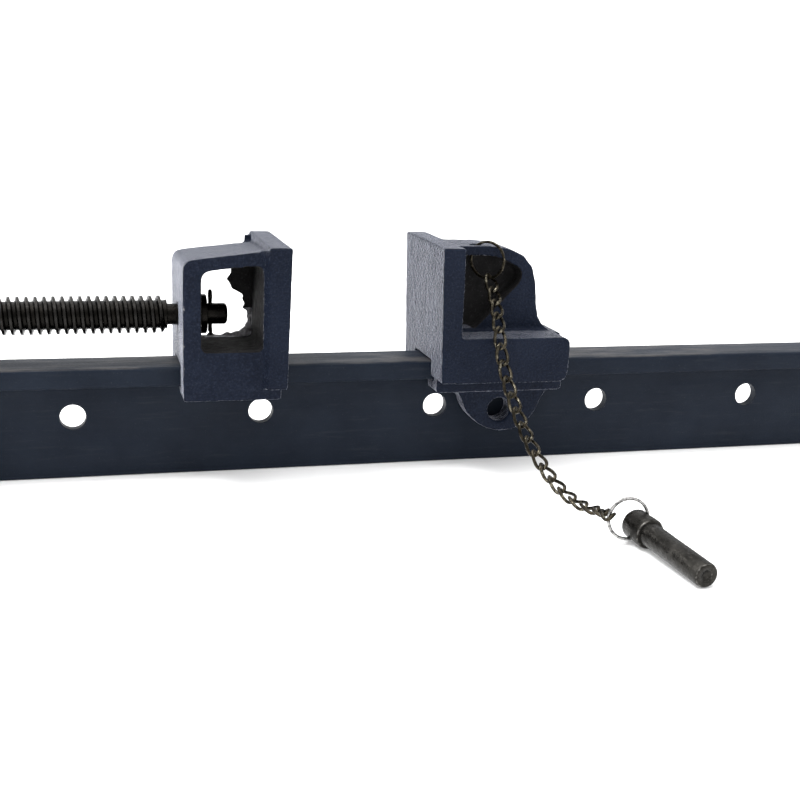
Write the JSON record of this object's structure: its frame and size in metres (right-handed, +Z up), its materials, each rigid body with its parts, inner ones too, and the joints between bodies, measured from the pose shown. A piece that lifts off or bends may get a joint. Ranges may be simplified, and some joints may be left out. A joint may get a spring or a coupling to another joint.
{
  "type": "sash clamp",
  "caption": "T-bar sash clamp: drilled T-section bar, screw-driven jaw with tommy bar, and a tail slide locked by a loose pin on a chain.",
  "frame": {"origin": "the middle of the clamp's length, on the surface that it stands on, on the bar's centre plane", "axes": "+X along the bar from the screw end to the tail end, +Y to the side away from the chain, +Z up"},
  "size_m": [0.846, 0.2584, 0.1161],
  "materials": {
    "bar_paint": "worn blue-black paint",
    "casting_paint": "rough navy painted casting",
    "black_steel": "blackened, oily",
    "grey_steel": "dull grey, worn",
    "bright_wire": "bright plated wire",
    "bronze_wire": "dark antique bronze"
  },
  "bodies": {
    "bar": {"t_bar": "bar_paint", "head_casting": "casting_paint", "head_rivet_1": "bar_paint", "head_rivet_2": "bar_paint", "end_stop_rivet": "bar_paint"},
    "jaw": {"screw_jaw": "casting_paint"},
    "screw": {"screw_spindle": "black_steel", "thrust_washer": "black_steel", "cotter_pin": "black_steel"},
    "tommy": {"tommy_bar": "black_steel", "tommy_cap_rear": "black_steel", "tommy_cap_front": "black_steel"},
    "slide": {"tail_slide": "casting_paint", "chain_link_01": "bronze_wire", "chain_link_02": "bronze_wire", "chain_link_03": "bronze_wire", "chain_link_04": "bronze_wire", "chain_link_05": "bronze_wire", "chain_link_06": "bronze_wire", "chain_link_07": "bronze_wire", "chain_link_08": "bronze_wire", "chain_link_09": "bronze_wire", "chain_link_10": "bronze_wire", "chain_link_11": "bronze_wire", "chain_link_12": "bronze_wire", "chain_link_13": "bronze_wire", "chain_link_14": "bronze_wire", "chain_link_15": "bronze_wire", "chain_link_16": "bronze_wire", "chain_link_17": "bronze_wire", "chain_link_18": "bronze_wire", "chain_link_19": "bronze_wire", "chain_link_20": "bronze_wire"},
    "ring_on_slide": {"slide_ring": "bronze_wire"},
    "ring_on_pin": {"pin_ring": "bright_wire"},
    "pin": {"locking_pin": "grey_steel"}
  },
  "joints": [
    {"name": "jaw_slide", "type": "slide", "parent": "bar", "child": "jaw", "axis": [1, 0, 0], "range_m": [-0.104, 0.008]},
    {"name": "screw_turn", "type": "hinge", "parent": "jaw", "child": "screw", "pos_m": [-0.262, 0, 0.079], "axis": [1, 0, 0], "range_deg": [-9360, 720]},
    {"name": "tommy_slide", "type": "slide", "parent": "screw", "child": "tommy", "axis": [0, 1, 0], "range_m": [-0.048, 0.048]},
    {"name": "tail_slide_along_bar", "type": "slide", "parent": "bar", "child": "slide", "axis": [1, 0, 0], "range_m": [-0.0307, 0.4193]},
    {"name": "slide_ring_turn", "type": "hinge", "parent": "slide", "child": "ring_on_slide", "pos_m": [-0.0601, -0.012, 0.1064], "axis": [0.6947, 0.7193, 0], "continuous": true},
    {"name": "pin_ring_turn", "type": "hinge", "parent": "slide", "child": "ring_on_pin", "pos_m": [-0.03148, -0.1303, 0.0114], "axis": [-0.0661, -0.9957, 0.065], "continuous": true},
    {"name": "pin_swing", "type": "hinge", "parent": "slide", "child": "pin", "pos_m": [-0.02537, -0.13098, 0.00713], "axis": [-0.5741, -0.0154, -0.8186], "range_deg": [0, 30]}
  ],
  "couplings": [
    {"joint": "screw_turn", "follows": "jaw_slide", "rad_per_m": 1570.8}
  ]
}
